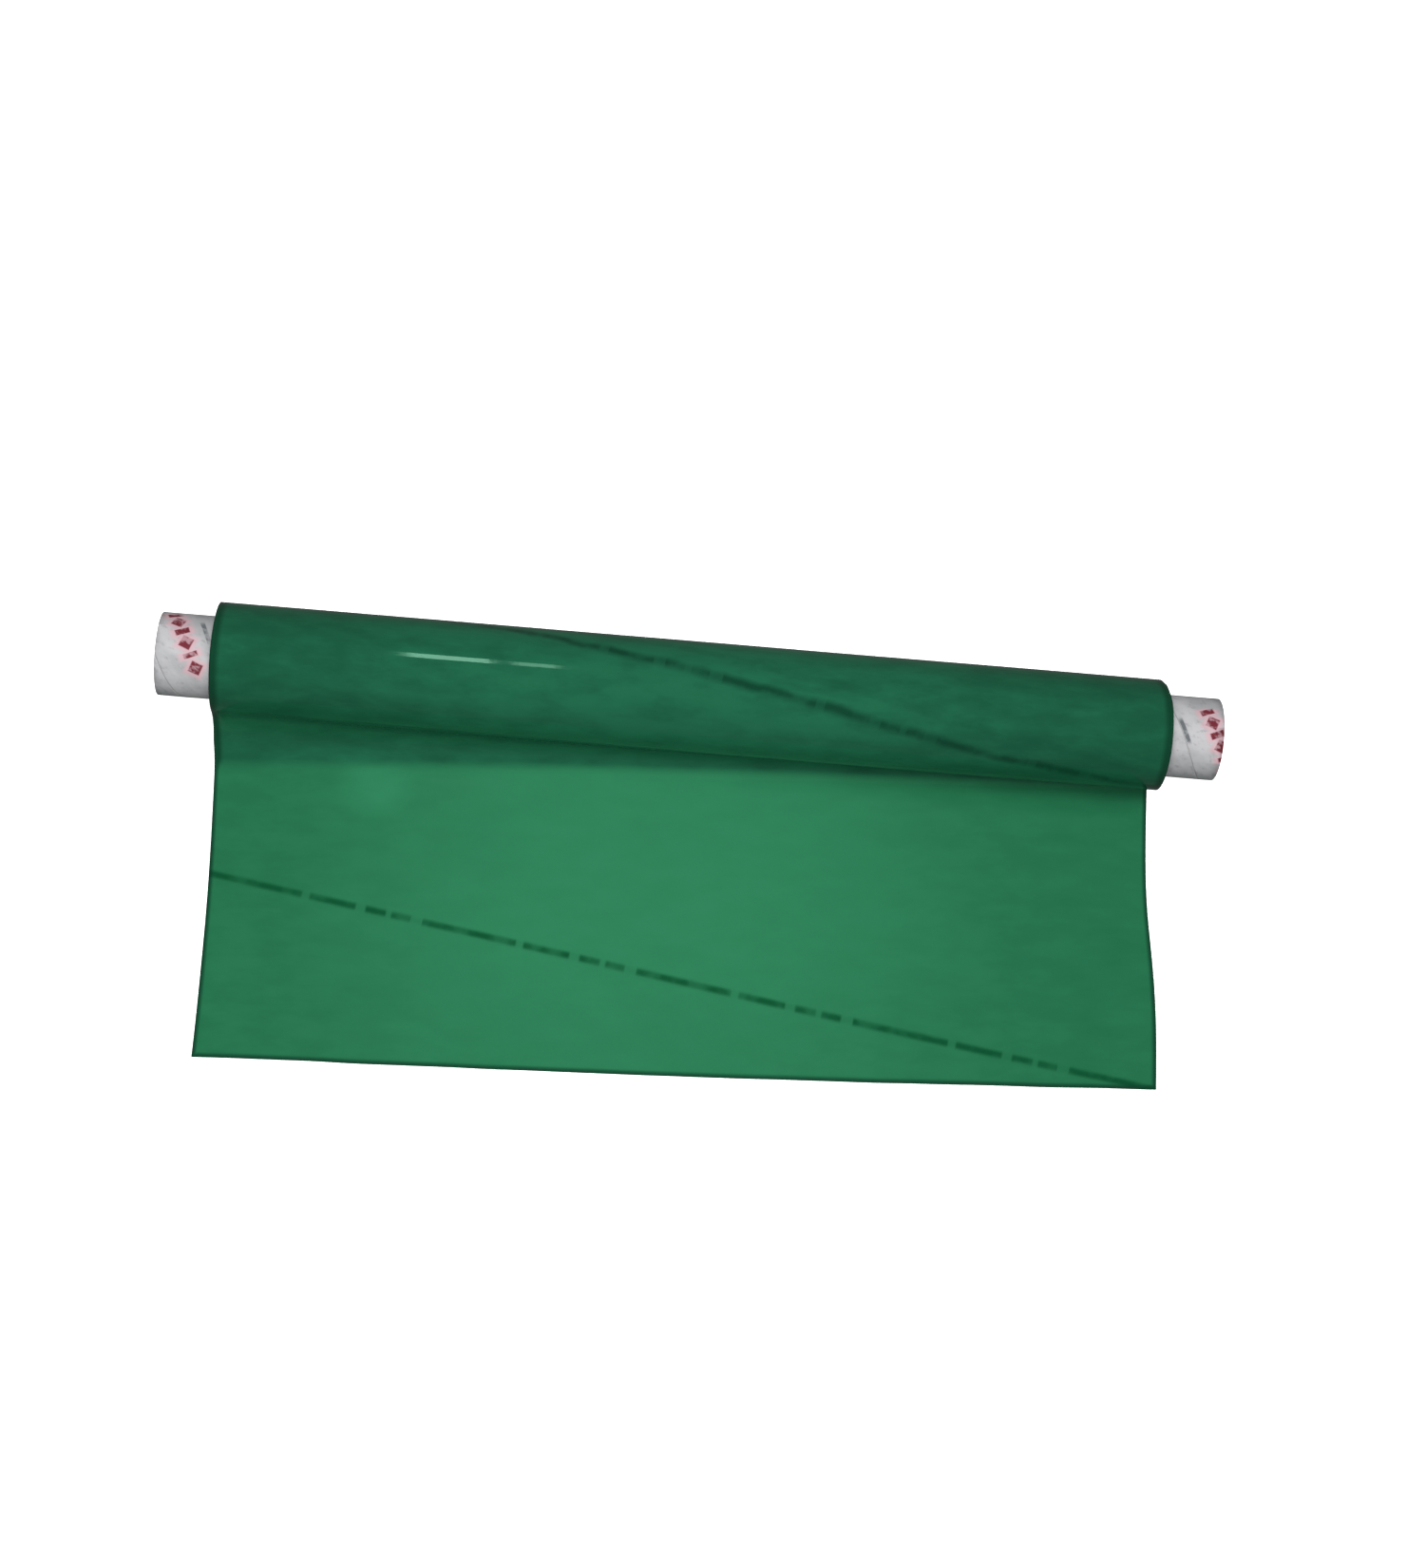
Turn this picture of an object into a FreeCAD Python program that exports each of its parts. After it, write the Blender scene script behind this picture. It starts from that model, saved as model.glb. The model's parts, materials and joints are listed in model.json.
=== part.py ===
"""A roll of thin green sheet on a paper core, lying on a flat surface with its free end drawn out.

The sheet is wound on a spiral-wound paper tube whose ends stand out of the roll. Its free end
comes over the top of the roll, down the front and out along the surface, a little askew. The
tube is made of layers of paper: a smooth liner, three plies of board and a printed outer ply. Each
is a strip wound in a spiral, whose edges butt so closely that it is drawn as a plain tube.

Frame, in millimetres: the origin is the middle of the core's bore. +X runs along the bore, +Z is
up, and the sheet's free end lies towards -Y. Angles are in degrees about the bore, from +Y
towards +Z, so 90 is the top of the roll, 180 its front and 270 its foot.

The sheet is one piece of material. It is cut into nodes where it moves differently: the turns
that spin with the core, the outermost turn, the hollow bend from the roll to the surface, the
length that lies flat, and the free end that is pulled.
"""

import FreeCAD
import Part
import math
import os

# The sheet
SHEET_WIDTH = 400.0
SHEET_THICKNESS = 0.6
ROLL_RADIUS = 23.55  # over the outermost turn
HALF_TURNS = 11  # half turns of sheet that spin with the core
SPIN_CLEARANCE = 0.3  # between the turns that spin and the outermost turn

# The core
CORE_LENGTH = 447.0
BORE_RADIUS = 15.5
LINER_THICKNESS = 0.3
BOARD_THICKNESS = 0.4
PRINTED_THICKNESS = 0.25
GLUE_LINE = 0.025  # between one layer and the next
BOARD_PLIES = 3
TAPE_THICKNESS = 0.1
TAPE_WIDTH = 20.0

# How the free end lies
BEND_RADIUS_LEFT = 24.0  # the hollow bend from roll to surface is wide at the left end
BEND_RADIUS_RIGHT = 4.0  # and tucked in tight at the right end
BEND_STATIONS = 9
INNER_END_GAP = 5.0  # degrees between the outermost turn's inner end and where the sheet leaves the roll
FRONT_LEFT = (-193.5, -165.0)  # the free end's corners
FRONT_RIGHT = (206.5, -148.0)
FREE_END_DEPTH = 16.0
CUT_GAP = 0.05  # between one node of the sheet and the next

SURFACE_Z = -ROLL_RADIUS
HALF_WIDTH = SHEET_WIDTH / 2
HALF_THICKNESS = SHEET_THICKNESS / 2
TOP = 90.0
ORIGIN = FreeCAD.Vector(0, 0, 0)
X_AXIS = FreeCAD.Vector(1, 0, 0)
Z_AXIS = FreeCAD.Vector(0, 0, 1)


def on_circle(x, radius, angle, centre=(0.0, 0.0)):
    """The point at an angle on a circle about a line along X through centre (y, z)."""
    a = math.radians(angle)
    return FreeCAD.Vector(x, centre[0] + radius * math.cos(a), centre[1] + radius * math.sin(a))


def arc(x, radius, start, end, centre=(0.0, 0.0)):
    """A circular edge in the plane at x, from one angle to another."""
    points = [on_circle(x, radius, angle, centre) for angle in (start, (start + end) / 2, end)]
    return Part.Arc(*points).toShape()


def line(start, end):
    return Part.LineSegment(start, end).toShape()


def band(outer, inner):
    """The closed outline between an outer and an inner run of edges, both drawn the same way."""
    first = line(outer[0].firstVertex(True).Point, inner[0].firstVertex(True).Point)
    last = line(outer[-1].lastVertex(True).Point, inner[-1].lastVertex(True).Point)
    return Part.Wire(Part.__sortEdges__(outer + [last] + inner + [first]))


def along_x(outline, length):
    return Part.Face(outline).extrude(X_AXIS * length)


def tube(inner, outer):
    """A layer of the core, as long as the core and with its middle at the origin."""
    base = X_AXIS * (-CORE_LENGTH / 2)
    outside = Part.makeCylinder(outer, CORE_LENGTH, base, X_AXIS)
    return outside.cut(Part.makeCylinder(inner, CORE_LENGTH, base, X_AXIS))


def core_layers():
    """The core's layers by name, from the bore outwards, and the radius over them with their glue."""
    plan = [("core_liner_ply", LINER_THICKNESS)]
    plan += [(f"core_board_ply_{k + 1}", BOARD_THICKNESS) for k in range(BOARD_PLIES)]
    plan += [("core_printed_ply", PRINTED_THICKNESS)]
    layers = {}
    radius = BORE_RADIUS
    for name, thickness in plan:
        layers[name] = tube(radius, radius + thickness)
        radius += thickness + GLUE_LINE
    return layers, radius


def start_tape(radius, start):
    """The strip that holds the sheet's first edge on the core."""
    end = start + math.degrees(TAPE_WIDTH / radius)
    outer = arc(-HALF_WIDTH, radius + TAPE_THICKNESS, start, end)
    inner = arc(-HALF_WIDTH, radius, start, end)
    return along_x(band([outer], [inner]), SHEET_WIDTH)


def wound_turns(first_radius, last_radius, start):
    """The turns that spin with the core: half circles, each one step further out than the last."""
    step = (last_radius - first_radius - SHEET_THICKNESS) / (HALF_TURNS - 1)
    outer = []
    inner = []
    for k in range(HALF_TURNS):
        centre = (step * (k % 2), 0.0)
        radius = first_radius + k * step
        first = 180.0 * (k % 2)
        inner.append(arc(-HALF_WIDTH, radius, first, first + 180, centre))
        outer.append(arc(-HALF_WIDTH, radius + SHEET_THICKNESS, first, first + 180, centre))
    turns = along_x(band(outer, inner), SHEET_WIDTH)
    turns.rotate(ORIGIN, X_AXIS, start)
    return turns


def bend_radius(x):
    """The hollow bend's radius at the sheet's middle. It shrinks evenly from left to right."""
    share = (x + HALF_WIDTH) / SHEET_WIDTH
    return BEND_RADIUS_LEFT * (BEND_RADIUS_RIGHT / BEND_RADIUS_LEFT) ** share


def bend_centre(x):
    """(y, z) of the hollow bend's centre, from which the bend meets both the roll and the surface."""
    radius = bend_radius(x)
    reach = ROLL_RADIUS - HALF_THICKNESS + radius
    centre_z = SURFACE_Z + HALF_THICKNESS + radius
    return -math.sqrt(reach**2 - centre_z**2), centre_z


def leaving_angle(x):
    """The angle at which the sheet leaves the roll."""
    centre_y, centre_z = bend_centre(x)
    return math.degrees(math.atan2(centre_z, centre_y)) % 360


def stations():
    return [-HALF_WIDTH + SHEET_WIDTH * i / (BEND_STATIONS - 1) for i in range(BEND_STATIONS)]


def turn_outline(x):
    """The outermost turn in the plane at x, from its inner end over the top to where it leaves the roll."""
    inner_end = leaving_angle(HALF_WIDTH) + INNER_END_GAP - 360
    radii = (ROLL_RADIUS, ROLL_RADIUS - SHEET_THICKNESS)
    return band(*[[arc(x, r, inner_end, TOP), arc(x, r, TOP, leaving_angle(x))] for r in radii])


def bend_outline(x):
    """The hollow bend in the plane at x, from the roll down to the surface."""
    radii = (bend_radius(x) - HALF_THICKNESS, bend_radius(x) + HALF_THICKNESS)
    return band(*[[arc(x, r, leaving_angle(x) - 180, -90, bend_centre(x))] for r in radii])


def across_sheet(outline):
    """The solid that takes an outline's shape at each station across the sheet."""
    return Part.makeLoft([outline(x) for x in stations()], True, True)


def on_surface(points):
    """A flat piece of the sheet with this outline, lying on the surface."""
    corners = [FreeCAD.Vector(x, y, SURFACE_Z) for x, y in points]
    return Part.Face(Part.makePolygon(corners + corners[:1])).extrude(Z_AXIS * SHEET_THICKNESS)


def behind_front(depth):
    """The free end's two corners, moved back by depth along the sheet."""
    across = (FRONT_RIGHT[0] - FRONT_LEFT[0], FRONT_RIGHT[1] - FRONT_LEFT[1])
    width = math.hypot(*across)
    back = (-across[1] / width * depth, across[0] / width * depth)
    return [(x + back[0], y + back[1]) for x, y in (FRONT_LEFT, FRONT_RIGHT)]


def laid_length():
    """The flat stretch between the bend and the free end."""
    foot = [(x, bend_centre(x)[0] - CUT_GAP) for x in stations()]
    left, right = behind_front(FREE_END_DEPTH + CUT_GAP)
    return on_surface(foot + [right, left])


def free_end():
    left, right = behind_front(FREE_END_DEPTH)
    return on_surface([FRONT_LEFT, FRONT_RIGHT, right, left])


def build():
    """Every node's shape by name."""
    nodes, core_radius = core_layers()
    first_radius = core_radius + TAPE_THICKNESS + GLUE_LINE
    last_radius = ROLL_RADIUS - SHEET_THICKNESS - SPIN_CLEARANCE
    start = leaving_angle(HALF_WIDTH) - 180
    nodes["start_tape"] = start_tape(core_radius, start)
    nodes["sheet_wound_turns"] = wound_turns(first_radius, last_radius, start)
    nodes["sheet_outer_turn"] = across_sheet(turn_outline)
    nodes["sheet_bend"] = across_sheet(bend_outline)
    nodes["sheet_laid_length"] = laid_length()
    nodes["sheet_free_end"] = free_end()
    return nodes


def main():
    os.makedirs("parts", exist_ok=True)
    nodes = build()
    for name, shape in nodes.items():
        shape.exportStep(f"parts/{name}.step")
        print(f"{name}: {len(shape.Solids)} solid, valid {shape.isValid()}, {shape.Volume:.1f} mm3")
    sheet = sum(shape.Volume for name, shape in nodes.items() if name.startswith("sheet_"))
    print(f"sheet length {sheet / SHEET_WIDTH / SHEET_THICKNESS:.0f} mm")


main()
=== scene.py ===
"""The looks of a roll of thin green sheet on a printed paper core, partly unrolled on a pale surface.

Everything is in metres and in the CAD model's frame: the origin is the middle of the core's bore,
+X runs along the bore, +Z is up, and the sheet's free end lies towards -Y. Angles about the bore
are in radians, from +Y towards +Z, so a quarter turn is the top of the roll.

A point of the sheet is named by where it was before the sheet was wound: u is its place across the
sheet, 0 at the middle, and s its distance back from the free end's front edge. The print, the dust
and the haze in the sheet all follow u and s.
"""

import json
import math

import bmesh
import bpy
import numpy as np
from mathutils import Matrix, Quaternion, Vector, noise


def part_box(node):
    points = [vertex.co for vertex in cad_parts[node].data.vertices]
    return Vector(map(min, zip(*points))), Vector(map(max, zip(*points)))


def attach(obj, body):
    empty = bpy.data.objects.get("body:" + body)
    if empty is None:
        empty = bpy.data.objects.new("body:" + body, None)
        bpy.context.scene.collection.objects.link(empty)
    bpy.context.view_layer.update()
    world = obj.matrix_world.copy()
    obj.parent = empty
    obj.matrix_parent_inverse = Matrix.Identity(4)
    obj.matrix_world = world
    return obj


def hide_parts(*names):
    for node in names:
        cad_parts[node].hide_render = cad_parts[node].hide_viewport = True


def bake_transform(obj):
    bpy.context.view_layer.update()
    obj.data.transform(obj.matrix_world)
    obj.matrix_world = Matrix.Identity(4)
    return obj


MM = 0.001

# How the sheet leaves the roll, as in the CAD model
BEND_RADIUS_LEFT = 24.0 * MM
BEND_RADIUS_RIGHT = 4.0 * MM
INNER_END_GAP = math.radians(5.0)
SPIN_CLEARANCE = 0.3 * MM
UNDER_SHEET = 0.15 * MM  # tape and glue between the core and the first turn
WOUND_TURNS = 5.5

# How the drawn-out sheet strays from a flat and straight one
SWELL = 0.2 * MM
EDGE_CURL = 0.2 * MM
FRONT_CURL = 0.1 * MM
RIPPLE = 0.05 * MM
FINE_RIPPLE = 0.01 * MM
FRONT_BOW = 1.4 * MM
FRONT_RAGGEDNESS = 0.25 * MM
SIDE_WANDER = 0.3 * MM
LEFT_SWAY = 1.5 * MM
RIGHT_SWAY = 0.9 * MM

# How the wound turns stray from a true spiral
TURN_RIPPLE = 0.06 * MM
TURN_WANDER = 0.55 * MM

# How finely the sheets are divided
EDGE_STRIP = 6 * MM  # the columns are closer together within this of a side edge
EDGE_STEP = 1 * MM
COLUMN_STEP = 2.4 * MM
WOUND_STEP = 2.2 * MM

# The core's printed outer strip
STRIP_PITCH = 47.8 * MM
STRIP_SEAM = 0.04 * MM
STRIP_EDGE_LIFT = 0.05 * MM
STRIP_LEAD = 1.3  # how many pitches before the core's left end the strip starts
STRIP_STEPS = 72  # faces in one turn of the strip
PLY_GAP = 0.03 * MM

# The print on the sheet
LINE_RISE = 78.0 * MM  # how far the line climbs from the sheet's right edge to its left
LINE_REPEAT = 156.8 * MM
LINE_HALF_WIDTH = 1.35 * MM
DASH_REPEAT = 92.6 * MM
DASH_START = 119.3 * MM  # how far to the left of the sheet's middle one of the long dashes starts
DASHES = ((0.0, 0.44), (0.474, 0.69), (0.735, 0.832), (0.856, 0.947))  # shares of one repeat
DASH_FADE = 0.008  # how softly a dash starts and ends, as a share of one repeat
WHOLE_REPEATS = 20  # added so that a place along the line is never negative
LINE_WAVER = 7.0 * MM  # how much the line wavers where the sheet is wound
INK_STRENGTH = 0.92

# The next turn's print, which shows faintly through the outermost turn
BELOW_HALF_WIDTH = 1.8 * MM
BELOW_BLUR = 1.0 * MM
BELOW_SMUDGE = 0.5
BELOW_STRENGTH = 0.18

GLARE_PATCH = (-132.0 * MM, 119.0 * MM)  # the u and s of a painted glare: a lighter patch that stands for a lamp's reflection where the sheet comes down

# The print on the core, in lanes along the strip
PRINT_START = 119.5 * MM
PRINT_REPEAT = 58.2 * MM
MARK_LEAN = 0.35
RED_LANE = 14.8 * MM
RED_MARKS = (  # shape, place along the repeat, half length, half height
    ("bar", 2.0 * MM, 1.3 * MM, 3.3 * MM),
    ("diamond", 7.0 * MM, 3.2 * MM, 3.8 * MM),
    ("bar", 12.0 * MM, 1.3 * MM, 3.3 * MM),
    ("diamond", 17.0 * MM, 3.2 * MM, 3.8 * MM),
    ("bar", 22.0 * MM, 1.0 * MM, 3.3 * MM),
    ("diamond", 27.4 * MM, 3.2 * MM, 3.8 * MM),
)
GREY_LANES = (1.2 * MM, 24.6 * MM)
GREY_MARKS = (("bar", 11.5 * MM, 5.2 * MM, 1.0 * MM),)

# The camera, with its angles in degrees
CAMERA_AZIMUTH = -9.3
CAMERA_ELEVATION = 73.2
CAMERA_TILT = 13.5
CAMERA_DISTANCE = 1.1206
CAMERA_LENS = 60.08
CAMERA_AIM = (11.9 * MM, -30.6 * MM)

# The stage
FLOOR_WIDTH = 16.0
FLOOR_DROP = 0.05 * MM  # how far the floor is below the sheet, so that their faces stay apart
DOME_RADIUS = 7.0
WORLD_COLOUR = (0.96, 0.98, 1.0, 1.0)
WORLD_STRENGTH = 0.12

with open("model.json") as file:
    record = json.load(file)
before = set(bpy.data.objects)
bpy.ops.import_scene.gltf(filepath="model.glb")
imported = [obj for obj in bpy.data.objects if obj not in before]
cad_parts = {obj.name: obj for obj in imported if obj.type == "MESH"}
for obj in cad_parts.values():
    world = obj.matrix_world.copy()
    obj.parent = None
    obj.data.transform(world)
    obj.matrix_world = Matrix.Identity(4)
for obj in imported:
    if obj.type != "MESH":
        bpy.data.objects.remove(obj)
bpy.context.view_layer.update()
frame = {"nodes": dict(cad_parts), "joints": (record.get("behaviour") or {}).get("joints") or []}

outer_low, outer_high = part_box("sheet_outer_turn")
end_low, end_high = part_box("sheet_free_end")
core_low, core_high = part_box("core_printed_ply")
slide = next(joint for joint in frame["joints"] if joint["type"] == "slide")

SURFACE = outer_low.z
ROLL_RADIUS = outer_high.z
SHEET_WIDTH = outer_high.x - outer_low.x
HALF_WIDTH = SHEET_WIDTH / 2
THICKNESS = end_high.z - end_low.z
MIDDLE_RADIUS = ROLL_RADIUS - THICKNESS / 2
SKEW = -slide["axis"][0] / slide["axis"][1]
STRAIGHTENS_AT = (end_low.x + HALF_WIDTH) / SKEW  # the s beyond which the sheet lies square to the roll
TOP = math.pi / 2


# Shapes


def smoothstep(low, high, value):
    t = np.clip((value - low) / (high - low), 0.0, 1.0)
    return t * t * (3 - 2 * t)


def waves(across, along, size_across, size_along, seed):
    """Smooth noise from -1 to 1 over arrays of places, with bumps about size_across by size_along."""
    places = zip((across / size_across).ravel(), (along / size_along).ravel())
    values = [noise.noise(Vector((a, b, seed))) for a, b in places]
    return np.array(values).reshape(across.shape)


def stations(*stretches):
    """Places along a line from (start, end, step) stretches that follow one another."""
    places = []
    for start, end, step in stretches:
        count = max(1, round((end - start) / step))
        places += [start + (end - start) * i / count for i in range(count)]
    return np.array(places + [stretches[-1][1]])


def bend_radius(x):
    share = np.clip((x + HALF_WIDTH) / SHEET_WIDTH, 0.0, 1.0)
    return BEND_RADIUS_LEFT * (BEND_RADIUS_RIGHT / BEND_RADIUS_LEFT) ** share


def bend(x):
    """The hollow bend in the plane at x: its radius, its centre's y and z, and its angle on the roll."""
    radius = bend_radius(x)
    centre_z = SURFACE + THICKNESS / 2 + radius
    centre_y = -np.sqrt((MIDDLE_RADIUS + radius) ** 2 - centre_z**2)
    leaves = np.arctan2(centre_z, centre_y) % (2 * math.pi)
    return radius, centre_y, centre_z, leaves


def drawn_out_middle(u, s):
    """The drawn-out sheet's middle layer, as it lies before it is made to stray.

    It gives each point, its outward normal, how far it is onto the roll and its angle there.
    """
    x = u + SKEW * np.clip(STRAIGHTENS_AT - s, 0.0, None)
    front = end_low.y + (x - end_low.x) * SKEW
    radius, centre_y, centre_z, leaves = bend(x)
    flat = centre_y - front
    turned = np.clip((s - flat) / radius, 0.0, leaves - TOP)
    onto_roll = s - flat - radius * (leaves - TOP)
    angle = leaves - np.clip(onto_roll, 0.0, None) / MIDDLE_RADIUS
    on_flat = s < flat
    in_bend = ~on_flat & (onto_roll < 0)
    stretch = [on_flat, in_bend]
    y = np.select(stretch, [front + s, centre_y + radius * np.sin(turned)], MIDDLE_RADIUS * np.cos(angle))
    z = np.select(
        stretch,
        [SURFACE + THICKNESS / 2, centre_z - radius * np.cos(turned)],
        MIDDLE_RADIUS * np.sin(angle),
    )
    normal_y = np.select(stretch, [0.0, -np.sin(turned)], np.cos(angle))
    normal_z = np.select(stretch, [1.0, np.cos(turned)], np.sin(angle))
    points = np.stack([x, y, z], axis=-1)
    normals = np.stack([np.zeros_like(x), normal_y, normal_z], axis=-1)
    return points, normals, onto_roll, angle


def grid_mesh(name, points, us, ss, backing):
    """A sheet's surface from rows of points.

    Its u and s in metres are the UV map, and each point keeps its backing value.
    """
    rows, columns = points.shape[:2]
    index = np.arange(rows * columns).reshape(rows, columns)
    corners = [index[:-1, :-1], index[:-1, 1:], index[1:, 1:], index[1:, :-1]]
    faces = np.stack(corners, axis=-1).reshape(-1, 4)
    mesh = bpy.data.meshes.new(name)
    mesh.from_pydata(points.reshape(-1, 3).tolist(), [], faces.tolist())
    uv = mesh.uv_layers.new(name="sheet")
    flat_uv = np.stack(np.meshgrid(us, ss), axis=-1).reshape(-1, 2)
    uv.data.foreach_set("uv", flat_uv[faces.ravel()].astype(np.float32).ravel())
    attribute = mesh.attributes.new("backing", "FLOAT", "POINT")
    attribute.data.foreach_set("value", backing.astype(np.float32).ravel())
    mesh.shade_smooth()
    piece = bpy.data.objects.new(name, mesh)
    bpy.context.scene.collection.objects.link(piece)
    return piece


def thicken(piece, thickness, offset):
    """Gives a surface its thickness. The cut edge takes the piece's second material."""
    solidify = piece.modifiers.new("thickness", "SOLIDIFY")
    solidify.thickness = thickness
    solidify.offset = offset
    solidify.material_offset_rim = 1
    solidify.use_quality_normals = True


def strays_outward(u, s, onto_roll, angle):
    """How far the sheet stands off its path: swells and curls where it lies flat, ripples on the roll."""
    from_edge = HALF_WIDTH - np.abs(u)
    lies_flat = 1 - smoothstep(40 * MM, 120 * MM, s)
    swell = SWELL * (1 + waves(u, s, 130 * MM, 80 * MM, 1.5))
    edge_curl = EDGE_CURL * np.exp(-((from_edge / (3.5 * MM)) ** 2))
    edge_curl *= 1 + waves(u, s, 60 * MM, 40 * MM, 4.5)
    front_curl = FRONT_CURL * np.exp(-((s / (3 * MM)) ** 2))
    front_curl *= 1 + waves(u, s, 70 * MM, 50 * MM, 7.5)
    on_roll = smoothstep(0.0, 20 * MM, onto_roll) * smoothstep(-math.pi / 3, -math.pi / 6, angle)
    ripple = RIPPLE * (1 + waves(u, s, 70 * MM, 17 * MM, 11.5))
    ripple += FINE_RIPPLE * (1 + waves(u, s, 16 * MM, 8 * MM, 13.5))
    return lies_flat * (swell + edge_curl + front_curl) + on_roll * ripple


def strays_forward(u, s):
    """How far the sheet lies in front of its straight path: the front's bow, and its raggedness."""
    bow = FRONT_BOW * np.cos(math.pi * np.clip((u - 30 * MM) / SHEET_WIDTH, -0.5, 0.5))
    ragged = FRONT_RAGGEDNESS * waves(u, s, 25 * MM, 25 * MM, 17.5)
    return bow * (1 - smoothstep(0, 60 * MM, s)), ragged * (1 - smoothstep(0, 10 * MM, s))


def strays_sideways(u, s):
    """How far the sheet lies to the right of its straight path, most of all at its side edges."""
    wander = SIDE_WANDER * waves(np.zeros_like(s), s, 1.0, 45 * MM, 19.5)
    left_sway = LEFT_SWAY * np.sin(math.pi * np.clip(s / (135 * MM), 0, 1))
    right_sway = RIGHT_SWAY * np.sin(2 * math.pi * np.clip(s / (140 * MM), 0, 1))
    right_sway += -1.2 * MM * np.exp(-(((s - 78 * MM) / (28 * MM)) ** 2))
    right_sway += 0.5 * MM * np.exp(-(((s - 180 * MM) / (22 * MM)) ** 2))
    right_sway -= 2.2 * MM * smoothstep(198 * MM, 222 * MM, s)
    at_left = smoothstep(0, HALF_WIDTH, -u)
    at_right = smoothstep(0, HALF_WIDTH, u)
    return wander + left_sway * at_left + right_sway * at_right


def turns_behind(u, height, onto_roll):
    """The backing value: 0 where the sheet lies on the pale surface and 1 where it lies over other turns.

    Painted light gets in under the hollow bend, and most at the left, where the bend is widest. The value
    paints the light that the pale surface sends back through the sheet, painted shade where the sheet rises
    off the surface, and painted light at the roll's side edges, which overhang the turns below.
    """
    from_edge = HALF_WIDTH - np.abs(u)
    # painted light at the roll's side edges, which overhang the turns below
    overhangs = 0.3 * np.exp(-((from_edge / (2.5 * MM)) ** 2))
    room_below = (bend_radius(u) - BEND_RADIUS_RIGHT) / (BEND_RADIUS_LEFT - BEND_RADIUS_RIGHT)
    # painted light that gets in under the hollow bend
    hollow = np.clip(room_below, 0, 1) ** 2 * (0.08 + 0.42 * smoothstep(4 * MM, 18 * MM, height))
    over_turns = 1.0 - overhangs - hollow * (1 - smoothstep(0, 9 * MM, onto_roll))
    # painted shade: the sheet darkens as it rises off the pale surface
    over_surface = smoothstep(0.3 * MM, 2.6 * MM, height) * (1 - hollow)
    return np.where(onto_roll > 0, over_turns, over_surface)


def drawn_out_length(leaves_right):
    """From the front edge to the outermost turn's inner end, measured along the sheet's middle."""
    back_of_roll = MIDDLE_RADIUS * (TOP - (leaves_right + INNER_END_GAP - 2 * math.pi))
    _, centre_y, _, leaves = bend(np.array(0.0))
    front = end_low.y + HALF_WIDTH * SKEW
    to_top = float(centre_y - front + bend_radius(0.0) * (leaves - TOP) + MIDDLE_RADIUS * (leaves - TOP))
    return to_top + back_of_roll


def drawn_out_sheet(length):
    """The outermost turn, the bend and the laid length up to the free end, in one piece."""
    near_edge = HALF_WIDTH - EDGE_STRIP
    us = stations(
        (-HALF_WIDTH, -near_edge, EDGE_STEP),
        (-near_edge, near_edge, COLUMN_STEP),
        (near_edge, HALF_WIDTH, EDGE_STEP),
    )
    ss = stations(  # closest together where the sheet leaves the roll
        (0.0, 6 * MM, 1 * MM),
        (6 * MM, 116 * MM, 2.8 * MM),
        (116 * MM, 136 * MM, 0.8 * MM),
        (136 * MM, 157 * MM, 0.4 * MM),
        (157 * MM, length, 1.5 * MM),
    )
    u, s = np.meshgrid(us, ss)
    points, normals, onto_roll, angle = drawn_out_middle(u, s)
    points += normals * strays_outward(u, s, onto_roll, angle)[..., None]
    for forward in strays_forward(u, s):
        points[..., 1] -= forward
    points[..., 0] += strays_sideways(u, s)
    backing = turns_behind(u, points[..., 2] - SURFACE, onto_roll)
    piece = grid_mesh("sheet_drawn_out", points, us, ss, backing)
    thicken(piece, THICKNESS, 0.0)
    return piece


def wound_sheet(outer_length, leaves_right):
    """The turns that spin with the core: one spiral, whose edges don't quite line up."""
    inner = core_high.z + UNDER_SHEET + THICKNESS / 2
    outer = MIDDLE_RADIUS - THICKNESS - SPIN_CLEARANCE
    sweep = WOUND_TURNS * 2 * math.pi
    length = sweep * (inner + outer) / 2
    from_side = (0.0, 0.6, 1.5, 3.0, 6.0, 12.0, 24.0, 48.0, 96.0)
    left = [-HALF_WIDTH + distance * MM for distance in from_side]
    us = np.array(left + [-u for u in reversed(left)])
    turned = np.linspace(0.0, sweep, round(length / WOUND_STEP) + 1)
    radius = outer + (inner - outer) * turned / sweep
    ss = outer_length + INNER_END_GAP * MIDDLE_RADIUS + (radius + outer) / 2 * turned
    u, s = np.meshgrid(us, ss)
    _, turned = np.meshgrid(us, turned)
    _, radius = np.meshgrid(us, radius)
    angle = leaves_right - turned
    radius = radius + TURN_RIPPLE * waves(u, s, 60 * MM, 12 * MM, 23.5)
    wander = TURN_WANDER * waves(np.zeros_like(s), s, 1.0, 50 * MM, 19.5)
    points = np.stack([u + wander, radius * np.cos(angle), radius * np.sin(angle)], axis=-1)
    piece = grid_mesh("sheet_wound", points, us, ss, np.ones_like(u))
    thicken(piece, THICKNESS, 0.0)
    return piece, length


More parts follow.
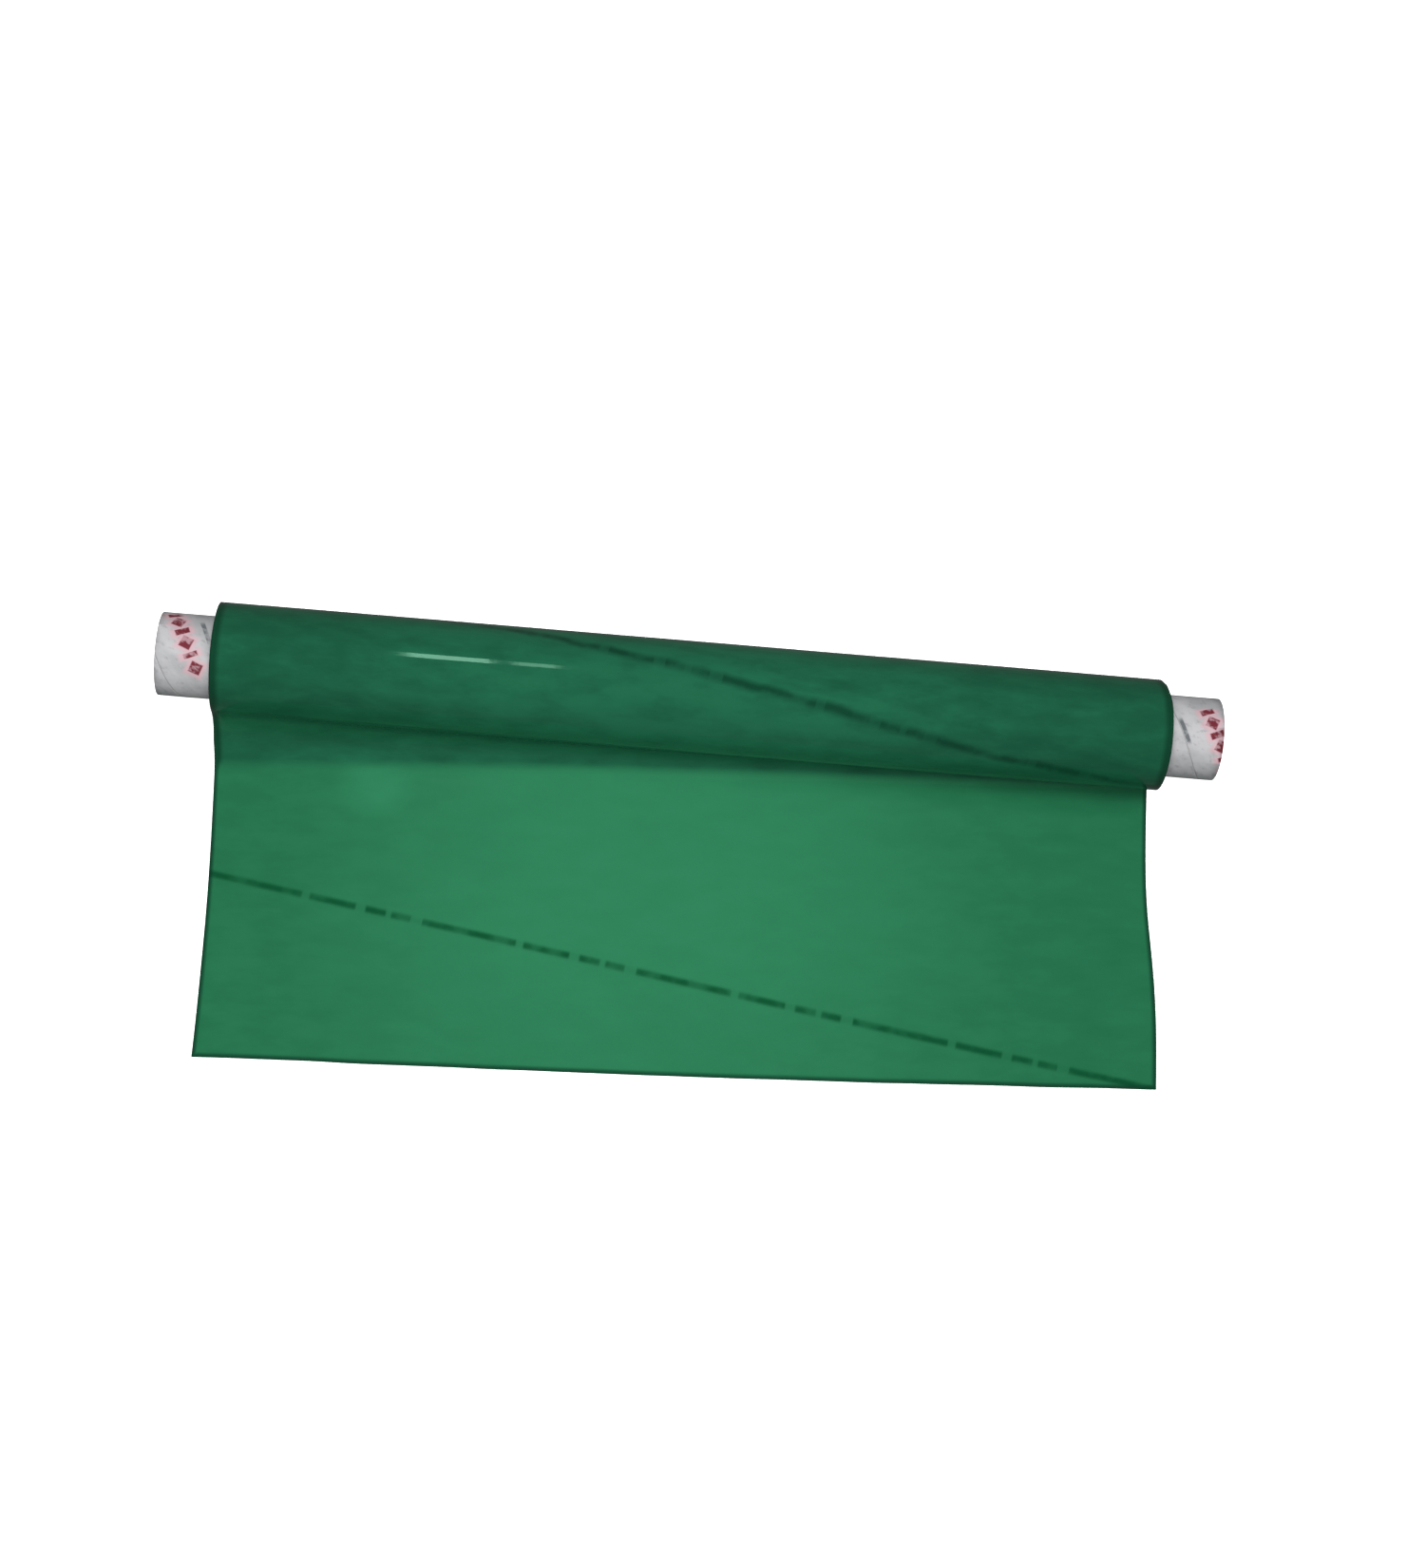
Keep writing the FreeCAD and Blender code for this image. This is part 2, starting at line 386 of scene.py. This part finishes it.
def printed_strip():
    """The core's outer strip, wound edge to edge in a spiral and cut square at the core's ends."""
    radius = core_high.z
    width = STRIP_PITCH - STRIP_SEAM
    turns = math.ceil((core_high.x - core_low.x) / STRIP_PITCH) + 2
    near_seam = [0.0, 0.012, 0.04, 0.12, 0.25, 0.4]
    across = np.array(near_seam + [1 - share for share in reversed(near_seam)])
    along = np.linspace(0.0, turns * 2 * math.pi, turns * STRIP_STEPS + 1)
    a, angle = np.meshgrid(across, along)
    x = core_low.x - STRIP_LEAD * STRIP_PITCH + STRIP_PITCH * angle / (2 * math.pi) + a * width
    lifted = radius - STRIP_EDGE_LIFT + STRIP_EDGE_LIFT * np.abs(2 * a - 1) ** 10
    points = np.stack([x, lifted * np.cos(angle), lifted * np.sin(angle)], axis=-1)
    piece = grid_mesh("core_printed_wrap", points, across * width, along * radius, np.zeros_like(a))
    trimmed = bmesh.new()
    trimmed.from_mesh(piece.data)
    for end, outward in ((core_low.x, -1), (core_high.x, 1)):
        geometry = trimmed.verts[:] + trimmed.edges[:] + trimmed.faces[:]
        bmesh.ops.bisect_plane(
            trimmed,
            geom=geometry,
            dist=1e-7,
            plane_co=(end, 0, 0),
            plane_no=(outward, 0, 0),
            clear_outer=True,
        )
    trimmed.to_mesh(piece.data)
    trimmed.free()
    _, ply_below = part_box("core_board_ply_3")
    thicken(piece, core_high.z - ply_below.z - STRIP_EDGE_LIFT - PLY_GAP, -1.0)
    return piece


# Materials


class Tree:
    """Builds a material's nodes with few words."""

    def __init__(self, name):
        self.material = bpy.data.materials.new(name)
        self.material.use_nodes = True
        self.nodes = self.material.node_tree.nodes
        self.links = self.material.node_tree.links
        self.shader = self.nodes["Principled BSDF"]

    def add(self, kind, inputs=None, **settings):
        node = self.nodes.new(kind)
        for name, value in settings.items():
            setattr(node, name, value)
        for key, value in (inputs or {}).items():
            self.feed(node.inputs[key], value)
        return node

    def feed(self, socket, value):
        if isinstance(value, bpy.types.NodeSocket):
            self.links.new(value, socket)
        else:
            socket.default_value = value

    def math(self, operation, *values, clamp=False):
        inputs = dict(enumerate(values))
        return self.add("ShaderNodeMath", inputs, operation=operation, use_clamp=clamp).outputs[0]

    def vector(self, x=0.0, y=0.0, z=0.0):
        return self.add("ShaderNodeCombineXYZ", {0: x, 1: y, 2: z}).outputs[0]

    def noise(self, vector, scale, detail=2.0, roughness=0.5):
        inputs = {"Vector": vector, "Scale": scale, "Detail": detail, "Roughness": roughness}
        return self.add("ShaderNodeTexNoise", inputs).outputs["Fac"]

    def step(self, value, low, high, start=0.0, end=1.0):
        """A smooth step of value from start at low to end at high."""
        inputs = {"Value": value, "From Min": low, "From Max": high, "To Min": start, "To Max": end}
        return self.add("ShaderNodeMapRange", inputs, interpolation_type="SMOOTHSTEP").outputs[0]

    def mix(self, share, a, b, blend="MIX"):
        node = self.add("ShaderNodeMix", data_type="RGBA", blend_type=blend)
        for socket, value in ((0, share), (6, a), (7, b)):
            self.feed(node.inputs[socket], value)
        return node.outputs[2]

    def bump(self, height, distance, strength=1.0):
        inputs = {"Height": height, "Distance": distance, "Strength": strength}
        return self.add("ShaderNodeBump", inputs).outputs[0]

    def set(self, **inputs):
        for name, value in inputs.items():
            self.feed(self.shader.inputs[name.replace("_", " ")], value)


def colour(red, green, blue):
    """A colour as a screen shows it, 0 to 255, made linear."""
    def linear(c):
        c /= 255
        return c / 12.92 if c <= 0.04045 else ((c + 0.055) / 1.055) ** 2.4
    return linear(red), linear(green), linear(blue), 1.0


def dash_mask(tree, along):
    """1 on a dash and 0 in a gap, along the printed line."""
    place = tree.math("FRACT", tree.math("DIVIDE", along, DASH_REPEAT))
    mask = None
    for start, end in DASHES:
        rising = tree.step(place, start - DASH_FADE, start + DASH_FADE)
        falling = tree.step(place, end - DASH_FADE, end + DASH_FADE, 1.0, 0.0)
        dash = tree.math("MULTIPLY", rising, falling)
        mask = dash if mask is None else tree.math("MAXIMUM", mask, dash)
    return mask


def printed_line(tree, u, s, half_width, blur, smudge):
    """The sloping line of dashes that repeats along the sheet, with some ink smudged into its gaps."""
    slope = math.atan2(LINE_RISE, SHEET_WIDTH)
    rise = tree.math("MULTIPLY", tree.math("SUBTRACT", HALF_WIDTH, u), LINE_RISE / SHEET_WIDTH)
    off_line = tree.math("PINGPONG", tree.math("SUBTRACT", s, rise), LINE_REPEAT / 2)
    distance = tree.math("MULTIPLY", off_line, math.cos(slope))
    solid_to = tree.math("SUBTRACT", half_width, blur)
    clear_from = tree.math("ADD", half_width, blur)
    band = tree.step(distance, solid_to, clear_from, 1.0, 0.0)
    across = tree.math("MULTIPLY", u, math.cos(slope))
    along = tree.math("SUBTRACT", across, tree.math("MULTIPLY", s, math.sin(slope)))
    from_start = tree.math("ADD", along, DASH_START + WHOLE_REPEATS * DASH_REPEAT)
    return tree.math("MULTIPLY", band, tree.math("MAXIMUM", dash_mask(tree, from_start), smudge))


def sheet_print(tree, place, u, s, backing):
    """How much ink there is at a place, and how much of the next turn's ink shows through from below."""
    waver = tree.math("MULTIPLY", tree.math("SUBTRACT", tree.noise(place, 26.0, 3.0, 0.6), 0.5), LINE_WAVER)
    wavy_s = tree.math("ADD", s, tree.math("MULTIPLY", waver, backing))
    blur = tree.math("MULTIPLY_ADD", backing, 0.7 * MM, 1.0 * MM)
    half_width = tree.math("MULTIPLY_ADD", backing, 0.5 * MM, LINE_HALF_WIDTH)
    worn = tree.step(tree.noise(place, 100.0, 2.0, 0.5), 0.35, 0.6, 0.6, 1.0)
    smudge = tree.math("MULTIPLY_ADD", backing, 0.5, 0.15)
    ink = tree.math("MULTIPLY", printed_line(tree, u, wavy_s, half_width, blur, smudge), worn)
    next_turn = tree.math("ADD", wavy_s, 2 * math.pi * MIDDLE_RADIUS)
    below = printed_line(tree, u, next_turn, BELOW_HALF_WIDTH, BELOW_BLUR, BELOW_SMUDGE)
    below = tree.math("MULTIPLY", below, backing)
    return tree.math("MAXIMUM", ink, tree.math("MULTIPLY", below, BELOW_STRENGTH))


def sheet_green(tree, place, u, s, backing):
    """The sheet's colour with painted light: lighter where the pale surface shows through, darker over
    other turns, lighter in the middle of the laid length and at a painted glare.
    """
    haze = tree.noise(place, 11.0, 3.0, 0.55)
    stretched = tree.vector(tree.math("MULTIPLY", u, 45.0), tree.math("MULTIPLY", s, 110.0))
    mottle = tree.noise(stretched, 1.0, 4.0, 0.6)
    # painted light: the laid sheet is lighter in its middle and darker towards its side and front edges, as
    # the lamps fall off; the haze adds random tone
    off_centre = tree.math("ABSOLUTE", tree.math("ADD", u, 10 * MM))
    middle = tree.step(off_centre, 20 * MM, 200 * MM, 1.0, 0.0)
    middle = tree.math("MULTIPLY", middle, tree.step(s, 0.0, 70 * MM, 0.7, 1.0))
    clear = tree.math("ADD", tree.math("MULTIPLY", middle, 0.65), tree.math("MULTIPLY", haze, 0.35))
    laid = tree.mix(tree.step(clear, 0.1, 0.9), colour(33, 104, 69), colour(43, 121, 82))
    # painted reflection: a lighter patch stands for a lamp's glare on the sheet, and the mottle adds random
    # paler tone
    from_patch = tree.add("ShaderNodeVectorMath", {0: place, 1: (*GLARE_PATCH, 0.0)}, operation="DISTANCE")
    pale = tree.step(from_patch.outputs["Value"], 4 * MM, 20 * MM, 0.35, 0.0)
    pale = tree.math("ADD", pale, tree.step(mottle, 0.3, 0.7, 0.0, 0.14))
    laid = tree.mix(pale, laid, colour(52, 138, 96))
    # the wound turns take a little of the painted light of the middle too, mixed with random mottle
    mottle_and_lit_middle = tree.math("ADD", tree.math("MULTIPLY", mottle, 0.7), tree.math("MULTIPLY", clear, 0.3))
    wound = tree.mix(tree.step(mottle_and_lit_middle, 0.3, 0.7), colour(22, 80, 56), colour(30, 98, 69))
    # painted light: lighter where the pale surface sends light back through the sheet, darker over other
    # turns
    return tree.mix(backing, laid, wound)


def cut_edge_shade(tree, u, s, backing):
    """Painted shade: 1 at the sheet's cut edges, fading out a little way in, and further in on the roll,
    whose ends are painted darker.
    """
    from_side = tree.math("SUBTRACT", HALF_WIDTH, tree.math("ABSOLUTE", u))
    solid_to = tree.math("MULTIPLY_ADD", backing, 1.2 * MM, 0.6 * MM)
    clear_from = tree.math("MULTIPLY_ADD", backing, 2.2 * MM, 2.4 * MM)
    return tree.step(tree.math("MINIMUM", from_side, s), solid_to, clear_from, 1.0, 0.0)


def motes(tree, place):
    """A few dark specks of dust."""
    cells = tree.add("ShaderNodeTexVoronoi", {"Vector": place, "Scale": 28.0})
    chance = tree.add("ShaderNodeSeparateColor", {0: cells.outputs["Color"]}).outputs[0]
    speck = tree.step(cells.outputs["Distance"], 0.010, 0.018, 1.0, 0.0)
    return tree.math("MULTIPLY", speck, tree.math("LESS_THAN", chance, 0.12))


def sheet_material():
    """Glossy green sheet with its printed line, specks of dust, and painted light and shade: lighter over
    the pale surface, a lit middle, a painted glare and painted shade at the cut edges.
    """
    tree = Tree("green_sheet")
    place = tree.add("ShaderNodeUVMap", uv_map="sheet").outputs[0]
    split = tree.add("ShaderNodeSeparateXYZ", {0: place})
    u, s = split.outputs[0], split.outputs[1]
    backing = tree.add("ShaderNodeAttribute", attribute_name="backing").outputs["Fac"]
    green = sheet_green(tree, place, u, s, backing)
    ink = sheet_print(tree, place, u, s, backing)
    # the ink is painted lighter over the pale surface, where light comes back through the sheet, and darker
    # over other turns
    ink_colour = tree.mix(backing, colour(4, 72, 40), colour(11, 58, 40))
    green = tree.mix(tree.math("MULTIPLY", ink, INK_STRENGTH), green, ink_colour)
    # painted shade along the cut edges, where the light inside the sheet is spent
    green = tree.mix(tree.math("MULTIPLY", cut_edge_shade(tree, u, s, backing), 0.8), green, colour(9, 50, 33))
    green = tree.mix(tree.math("MULTIPLY", motes(tree, place), 0.6), green, colour(16, 62, 45))

    fine = tree.noise(place, 1400.0, 2.0, 0.6)
    soft = tree.noise(place, 160.0, 3.0, 0.5)
    surface = tree.math("ADD", tree.math("MULTIPLY", fine, 0.2), soft)
    sheen = tree.step(tree.noise(place, 40.0, 3.0, 0.6), 0.3, 0.7, 0.035, 0.055)
    tree.set(Base_Color=green, Roughness=sheen, IOR=1.5, Normal=tree.bump(surface, 0.04 * MM, 0.3))
    tree.set(Specular_Tint=(0.5, 1.0, 0.74, 1.0))  # the turns below tint what shines
    return tree.material


def cut_edge_material():
    """The sheet's cut edge, which is darker because the light inside it is spent."""
    tree = Tree("green_cut_edge")
    place = tree.add("ShaderNodeUVMap", uv_map="sheet").outputs[0]
    tone = tree.noise(place, 400.0, 2.0)
    tree.set(Base_Color=tree.mix(tone, colour(12, 52, 34), colour(24, 78, 52)), Roughness=0.5,
             Normal=tree.bump(tone, 0.05 * MM, 0.6))
    return tree.material


def nearest_mark(tree, along, across, lane, shapes):
    """How near a place is to the marks of a lane: 0 at a mark's middle and 1 at its edge."""
    repeats = tree.math("DIVIDE", tree.math("SUBTRACT", along, PRINT_START), PRINT_REPEAT)
    place = tree.math("MULTIPLY", tree.math("FRACT", repeats), PRINT_REPEAT)
    off_lane = tree.math("SUBTRACT", across, lane)
    leaning = tree.math("ADD", place, tree.math("MULTIPLY", off_lane, MARK_LEAN))
    nearest = None
    for shape, middle, half_length, half_height in shapes:
        off_middle = tree.math("SUBTRACT", leaning, middle)
        along_mark = tree.math("ABSOLUTE", tree.math("DIVIDE", off_middle, half_length))
        across_mark = tree.math("ABSOLUTE", tree.math("DIVIDE", off_lane, half_height))
        joined = tree.math("ADD" if shape == "diamond" else "MAXIMUM", along_mark, across_mark)
        nearest = joined if nearest is None else tree.math("MINIMUM", nearest, joined)
    return nearest


def core_print_material():
    """Coated white paper with generic red and grey marks in lanes along the strip."""
    tree = Tree("core_printed_paper")
    place = tree.add("ShaderNodeUVMap", uv_map="sheet").outputs[0]
    split = tree.add("ShaderNodeSeparateXYZ", {0: place})
    across, along = split.outputs[0], split.outputs[1]
    tone = tree.noise(place, 60.0, 4.0, 0.6)
    worn = tree.step(tree.noise(place, 300.0, 3.0, 0.6), 0.38, 0.55, 0.4, 1.0)
    painted = tree.mix(tree.step(tone, 0.35, 0.65), colour(169, 170, 172), colour(190, 190, 192))
    scuffs = tree.step(tree.noise(place, 260.0, 4.0, 0.7), 0.52, 0.7, 0.0, 0.5)
    painted = tree.mix(scuffs, painted, colour(128, 124, 130))
    red = nearest_mark(tree, along, across, RED_LANE, RED_MARKS)
    painted = tree.mix(tree.step(red, 1.0, 2.1, 0.75, 0.0), painted, colour(214, 168, 177))
    inked = tree.math("MULTIPLY", tree.step(red, 0.85, 1.1, 1.0, 0.0), worn)
    painted = tree.mix(inked, painted, colour(112, 40, 51))
    for lane in GREY_LANES:
        grey = nearest_mark(tree, along, across, lane, GREY_MARKS)
        inked = tree.math("MULTIPLY", tree.step(grey, 0.7, 1.2, 0.9, 0.0), worn)
        painted = tree.mix(inked, painted, colour(90, 95, 99))
    fibre = tree.noise(place, 900.0, 4.0, 0.65)
    sheen = tree.step(tone, 0.3, 0.7, 0.4, 0.52)
    tree.set(Base_Color=painted, Roughness=sheen, Normal=tree.bump(fibre, 0.03 * MM, 0.5))
    return tree.material


def board_material(name, light, dark, seam_offset):
    """Core board or kraft paper, with fibres and the hairline of its spiral seam."""
    tree = Tree(name)
    place = tree.add("ShaderNodeTexCoord").outputs["Object"]
    split = tree.add("ShaderNodeSeparateXYZ", {0: place})
    x, y, z = split.outputs[:3]
    turn = tree.math("DIVIDE", tree.math("ARCTAN2", z, y), 2 * math.pi)
    pitches = tree.math("SUBTRACT", tree.math("DIVIDE", x, STRIP_PITCH), turn)
    spiral = tree.math("FRACT", tree.math("ADD", pitches, seam_offset))
    seam = tree.step(tree.math("PINGPONG", spiral, 0.5), 0.004, 0.008, 1.0, 0.0)
    along_fibres = tree.vector(tree.math("MULTIPLY", spiral, 300.0), tree.math("MULTIPLY", turn, 40.0), x)
    fibres = tree.noise(along_fibres, 1.0, 4.0, 0.7)
    blotch = tree.noise(place, 120.0, 3.0, 0.6)
    tone = tree.math("MULTIPLY", tree.math("ADD", fibres, blotch), 0.5)
    paper = tree.mix(tree.step(tone, 0.35, 0.65), dark, light)
    paper = tree.mix(tree.math("MULTIPLY", seam, 0.7), paper, tuple(0.3 * c for c in dark[:3]) + (1.0,))
    grain = tree.math("SUBTRACT", tone, seam)
    roughness = tree.step(blotch, 0.3, 0.7, 0.8, 0.92)
    tree.set(Base_Color=paper, Roughness=roughness, Normal=tree.bump(grain, 0.08 * MM, 0.7))
    return tree.material


def tape_material():
    tree = Tree("start_tape_film")
    place = tree.add("ShaderNodeTexCoord").outputs["Object"]
    tone = tree.noise(place, 300.0, 3.0)
    tree.set(Base_Color=tree.mix(tone, colour(190, 184, 160), colour(214, 208, 188)), Roughness=0.4,
             Normal=tree.bump(tone, 0.03 * MM, 0.5))
    return tree.material


def floor_material():
    """Pale and bright enough by itself that no shadow shows on it."""
    tree = Tree("pale_floor")
    place = tree.add("ShaderNodeTexCoord").outputs["Object"]
    tone = tree.noise(place, 3.0, 2.0)
    tree.set(Base_Color=tree.mix(tone, colour(240, 241, 240), colour(246, 247, 246)), Roughness=0.7)
    tree.set(Emission_Color=(1.0, 1.0, 1.0, 1.0), Emission_Strength=1.0)
    return tree.material


# The stage


def add_stage():
    """A pale floor and dome. They give the object no light, and its gloss doesn't show them."""
    bpy.ops.mesh.primitive_plane_add(size=FLOOR_WIDTH, location=(0, 0, SURFACE - FLOOR_DROP))
    floor = bpy.context.object
    floor.name = "floor"
    bpy.ops.mesh.primitive_uv_sphere_add(segments=64, ring_count=32, radius=DOME_RADIUS)
    dome = bpy.context.object
    dome.name = "dome"
    dome.visible_shadow = False
    pale = floor_material()
    for piece in (floor, dome):
        piece.data.materials.append(pale)
        piece.visible_glossy = False
        piece.visible_diffuse = False


def aim(thing, place, target):
    thing.location = place
    thing.rotation_mode = "QUATERNION"
    thing.rotation_quaternion = (Vector(target) - Vector(place)).to_track_quat("-Z", "Y")


def add_area_light(name, place, target, size, power, shows_in_gloss):
    lamp = bpy.data.lights.new(name, "AREA")
    lamp.shape = "RECTANGLE"
    lamp.size, lamp.size_y = size
    lamp.energy = power
    light = bpy.data.objects.new(name, lamp)
    light.visible_glossy = shows_in_gloss
    bpy.context.scene.collection.objects.link(light)
    aim(light, place, target)


def add_lights():
    """Soft light from overhead and in front, and two small lamps that shine in the gloss."""
    lamps = (  # name, place, target, size, watts, whether the gloss shows it
        ("overhead", (-0.1, -0.16, 1.9), (0.0, -0.06, SURFACE), (1.2, 1.2), 40.0, False),
        ("fill", (0.0, -1.5, 0.9), (0.0, 0.0, 0.0), (1.4, 0.8), 6.0, False),
        ("lamp_left", (-0.196, 0.55, 1.5), (-0.196, 0.0, 0.0), (0.082, 0.24), 0.46, True),
        ("lamp_right", (-0.103, 0.55, 1.5), (-0.103, 0.0, 0.0), (0.042, 0.20), 0.12, True),
    )
    for lamp in lamps:
        add_area_light(*lamp)
    world = bpy.data.worlds.new("studio")
    world.use_nodes = True
    background = world.node_tree.nodes["Background"]
    background.inputs["Color"].default_value = WORLD_COLOUR
    background.inputs["Strength"].default_value = WORLD_STRENGTH
    bpy.context.scene.world = world


def add_camera():
    """The photograph's viewpoint, nearly overhead and turned a little about its line of sight."""
    azimuth = math.radians(CAMERA_AZIMUTH)
    elevation = math.radians(CAMERA_ELEVATION)
    back = Vector((math.sin(azimuth), -math.cos(azimuth), math.tan(elevation))).normalized()
    target = Vector((*CAMERA_AIM, SURFACE))
    lens = bpy.data.cameras.new("camera")
    lens.lens = CAMERA_LENS
    lens.clip_start, lens.clip_end = 0.01, 50.0
    camera = bpy.data.objects.new("camera", lens)
    bpy.context.scene.collection.objects.link(camera)
    aim(camera, target + back * CAMERA_DISTANCE, target)
    tilt = Quaternion((0, 0, 1), math.radians(CAMERA_TILT))
    camera.rotation_quaternion = camera.rotation_quaternion @ tilt
    bpy.context.scene.camera = camera


# The object


def dress(node, material):
    """Gives a carried-over CAD node its material."""
    piece = frame["nodes"][node]
    piece.data.materials.clear()
    piece.data.materials.append(material)


def build():
    green = sheet_material()
    cut_edge = cut_edge_material()
    leaves_right = float(bend(np.array(HALF_WIDTH))[-1])
    drawn_length = drawn_out_length(leaves_right)
    drawn = drawn_out_sheet(drawn_length)
    wound, wound_length = wound_sheet(drawn_length, leaves_right)
    for piece in (drawn, wound):
        piece.data.materials.append(green)
        piece.data.materials.append(cut_edge)
    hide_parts("sheet_outer_turn", "sheet_bend", "sheet_laid_length", "sheet_free_end")
    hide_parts("sheet_wound_turns")
    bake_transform(drawn)
    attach(wound, "roll")

    strip = printed_strip()
    board = board_material("core_board", colour(168, 150, 124), colour(128, 110, 86), 0.3)
    strip.data.materials.append(core_print_material())
    strip.data.materials.append(board)
    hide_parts("core_printed_ply")
    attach(strip, "roll")
    for k in (1, 2, 3):
        dress(f"core_board_ply_{k}", board)
    kraft = board_material("core_liner_kraft", colour(176, 146, 106), colour(140, 112, 78), 0.62)
    dress("core_liner_ply", kraft)
    dress("start_tape", tape_material())


build()
add_stage()
add_lights()
add_camera()
bpy.context.scene.view_settings.view_transform = "Standard"
